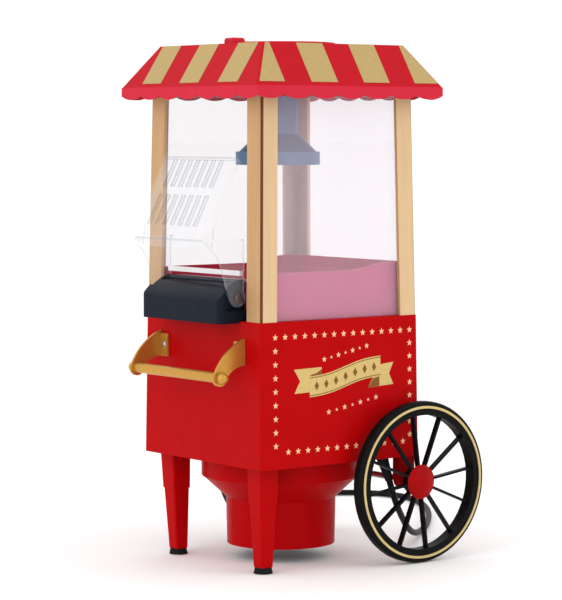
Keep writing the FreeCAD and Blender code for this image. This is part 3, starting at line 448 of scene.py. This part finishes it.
PANEL_OUT = (0, -1, 0.012)
STAR_R = 2.6
STAR_LEFT, STAR_RIGHT = -61.8, 67.0
STAR_TOP, STAR_BOTTOM = 177.8, 92.3
TOP_STARS, BOTTOM_STARS, SIDE_STARS = 15, 13, 8
STAR_PITCH = (STAR_RIGHT - STAR_LEFT) / (TOP_STARS - 1)
BOTTOM_INSET = 11.5
STAR_DROP = 10.07
stars = []
for k in range(TOP_STARS):
    stars.append((star(STAR_LEFT + STAR_PITCH * k, STAR_TOP, STAR_R), PANEL_OUT))
for k in range(BOTTOM_STARS):
    stars.append((star(STAR_LEFT + BOTTOM_INSET + STAR_PITCH * k, STAR_BOTTOM, STAR_R), PANEL_OUT))
for k in range(1, SIDE_STARS + 1):
    stars.append((star(STAR_LEFT, STAR_TOP - STAR_DROP * k, STAR_R), PANEL_OUT))
    stars.append((star(STAR_RIGHT, STAR_TOP - STAR_DROP * k, STAR_R), PANEL_OUT))
sheet_piece("printed_stars", both_sides(stars), PRINT, thick=0.12)


def band(x0, x1, low, high, wave, steps=24):
    """A strip whose middle line follows a wave."""
    xs = [x0 + (x1 - x0) * k / steps for k in range(steps + 1)]
    quads = []
    for a, b in zip(xs, xs[1:]):
        ring = [panel_point(a, wave(a) + low), panel_point(b, wave(b) + low),
                panel_point(b, wave(b) + high), panel_point(a, wave(a) + high)]
        quads.append((ring, PANEL_OUT))
    return quads


RIBBON_X0, RIBBON_X1 = -30.0, 38.0
RIBBON_HALF = 7.8
RIBBON_Z = 139.6
RIBBON_RISE = 12.0
RIBBON_SWAY = 1.3
LINE_IN, LINE_OUT = 6.3, 6.9
DIAMONDS = 7
DIAMOND_X, DIAMOND_PITCH = -23.5, 9.2
DIAMOND_HALF_W, DIAMOND_HALF_H = 2.1, 3.4


def main_wave(x):
    """The height of the ribbon's middle line."""
    share = (x - RIBBON_X0) / (RIBBON_X1 - RIBBON_X0)
    return RIBBON_Z + RIBBON_RISE * share - RIBBON_SWAY * math.sin(2 * math.pi * share)


def flat_ring(*points):
    """A polygon of the print from places on the panel."""
    return ([panel_point(x, z) for x, z in points], PANEL_OUT)


tails = [
    flat_ring((-44.3, 135.2), (-29.0, 135.6), (-18.5, 141.0),
              (-18.5, 153.8), (-44.6, 153.2), (-39.0, 144.4)),
    flat_ring((26.0, 135.6), (50.8, 137.0), (46.6, 145.4), (50.8, 154.0), (37.0, 152.6)),
]
sheet_piece("ribbon_tails", both_sides(tails), BANNER, thick=0.12)
shade = [
    flat_ring((-29.0, 135.6), (-18.5, 141.0), (-18.5, 152.4), (-24.0, 149.4), (-29.0, 148.6)),
    flat_ring((26.0, 135.6), (37.0, 136.4), (37.0, 143.6), (31.0, 142.4)),
]
sheet_piece("ribbon_folds", both_sides(shade), BANNER_DARK, thick=0.2)
ribbon = band(RIBBON_X0, RIBBON_X1, -RIBBON_HALF, RIBBON_HALF, main_wave)
sheet_piece("printed_ribbon", both_sides(ribbon), BANNER, thick=0.28)
marks = band(RIBBON_X0, RIBBON_X1, LINE_IN, LINE_OUT, main_wave)
marks += band(RIBBON_X0, RIBBON_X1, -LINE_OUT, -LINE_IN, main_wave)
for k in range(DIAMONDS):
    x = DIAMOND_X + DIAMOND_PITCH * k
    z = main_wave(x)
    marks.append(flat_ring((x, z - DIAMOND_HALF_H), (x + DIAMOND_HALF_W, z),
                           (x, z + DIAMOND_HALF_H), (x - DIAMOND_HALF_W, z)))
sheet_piece("ribbon_marks", both_sides(marks), BANNER_DARK, thick=0.36)

# two rising rows of small stars, large and small in turn: x, z and the step to the next star
ROW_STARS = 7
ROW_REACH = (2.3, 1.4)
UPPER_X, UPPER_DX, UPPER_Z, UPPER_DZ = -16.0, 6.8, 159.4, 1.35
LOWER_X, LOWER_DX, LOWER_Z, LOWER_DZ = -12.0, 7.6, 119.6, 1.4
ornaments = []
for k in range(ROW_STARS):
    reach = ROW_REACH[k % 2]
    ornaments.append((star(UPPER_X + UPPER_DX * k, UPPER_Z + UPPER_DZ * k, reach), PANEL_OUT))
    ornaments.append((star(LOWER_X + LOWER_DX * k, LOWER_Z + LOWER_DZ * k, reach), PANEL_OUT))
sheet_piece("printed_ornaments", both_sides(ornaments), PRINT, thick=0.12)

# ---------------------------------------------------------------- floor, light, world
FLOOR_HALF = 60.0
FLOOR_DROP = 0.0003
AIM_AT = (0, 0, 0.2)
SKY = 1.08

floor_mesh = bpy.data.meshes.new("floor")
corners = [(x * FLOOR_HALF, y * FLOOR_HALF, 0) for x, y in ((-1, -1), (1, -1), (1, 1), (-1, 1))]
floor_mesh.from_pydata(corners, [], [(0, 1, 2, 3)])
floor = bpy.data.objects.new("floor", floor_mesh)
bpy.context.scene.collection.objects.link(floor)
floor.location.z = -FLOOR_DROP
floor_mesh.materials.append(finish("floor_pale", (0.97, 0.97, 0.97, 1.0), rough=0.8, grain=3,
                                   vary=0.005, bump=0.0))


def area_light(name, at, width, watts):
    """A square lamp at a place, turned to the object."""
    data = bpy.data.lights.new(name, "AREA")
    data.shape = "SQUARE"
    data.size = width
    data.energy = watts
    light = bpy.data.objects.new(name, data)
    bpy.context.scene.collection.objects.link(light)
    light.location = at
    light.rotation_mode = "QUATERNION"
    light.rotation_quaternion = (Vector(AIM_AT) - Vector(at)).to_track_quat("-Z", "Y")


area_light("key", (0.9, -1.7, 1.3), width=1.2, watts=4)
area_light("fill", (-1.9, -0.4, 1.0), width=1.4, watts=7)
area_light("top", (0.1, 0.1, 2.0), width=1.6, watts=3)

world = bpy.data.worlds.new("world")
world.use_nodes = True
world.node_tree.nodes["Background"].inputs["Color"].default_value = (1, 1, 1, 1)
world.node_tree.nodes["Background"].inputs["Strength"].default_value = SKY
bpy.context.scene.world = world
bpy.context.scene.view_settings.view_transform = "Standard"
bpy.context.scene.view_settings.look = "None"
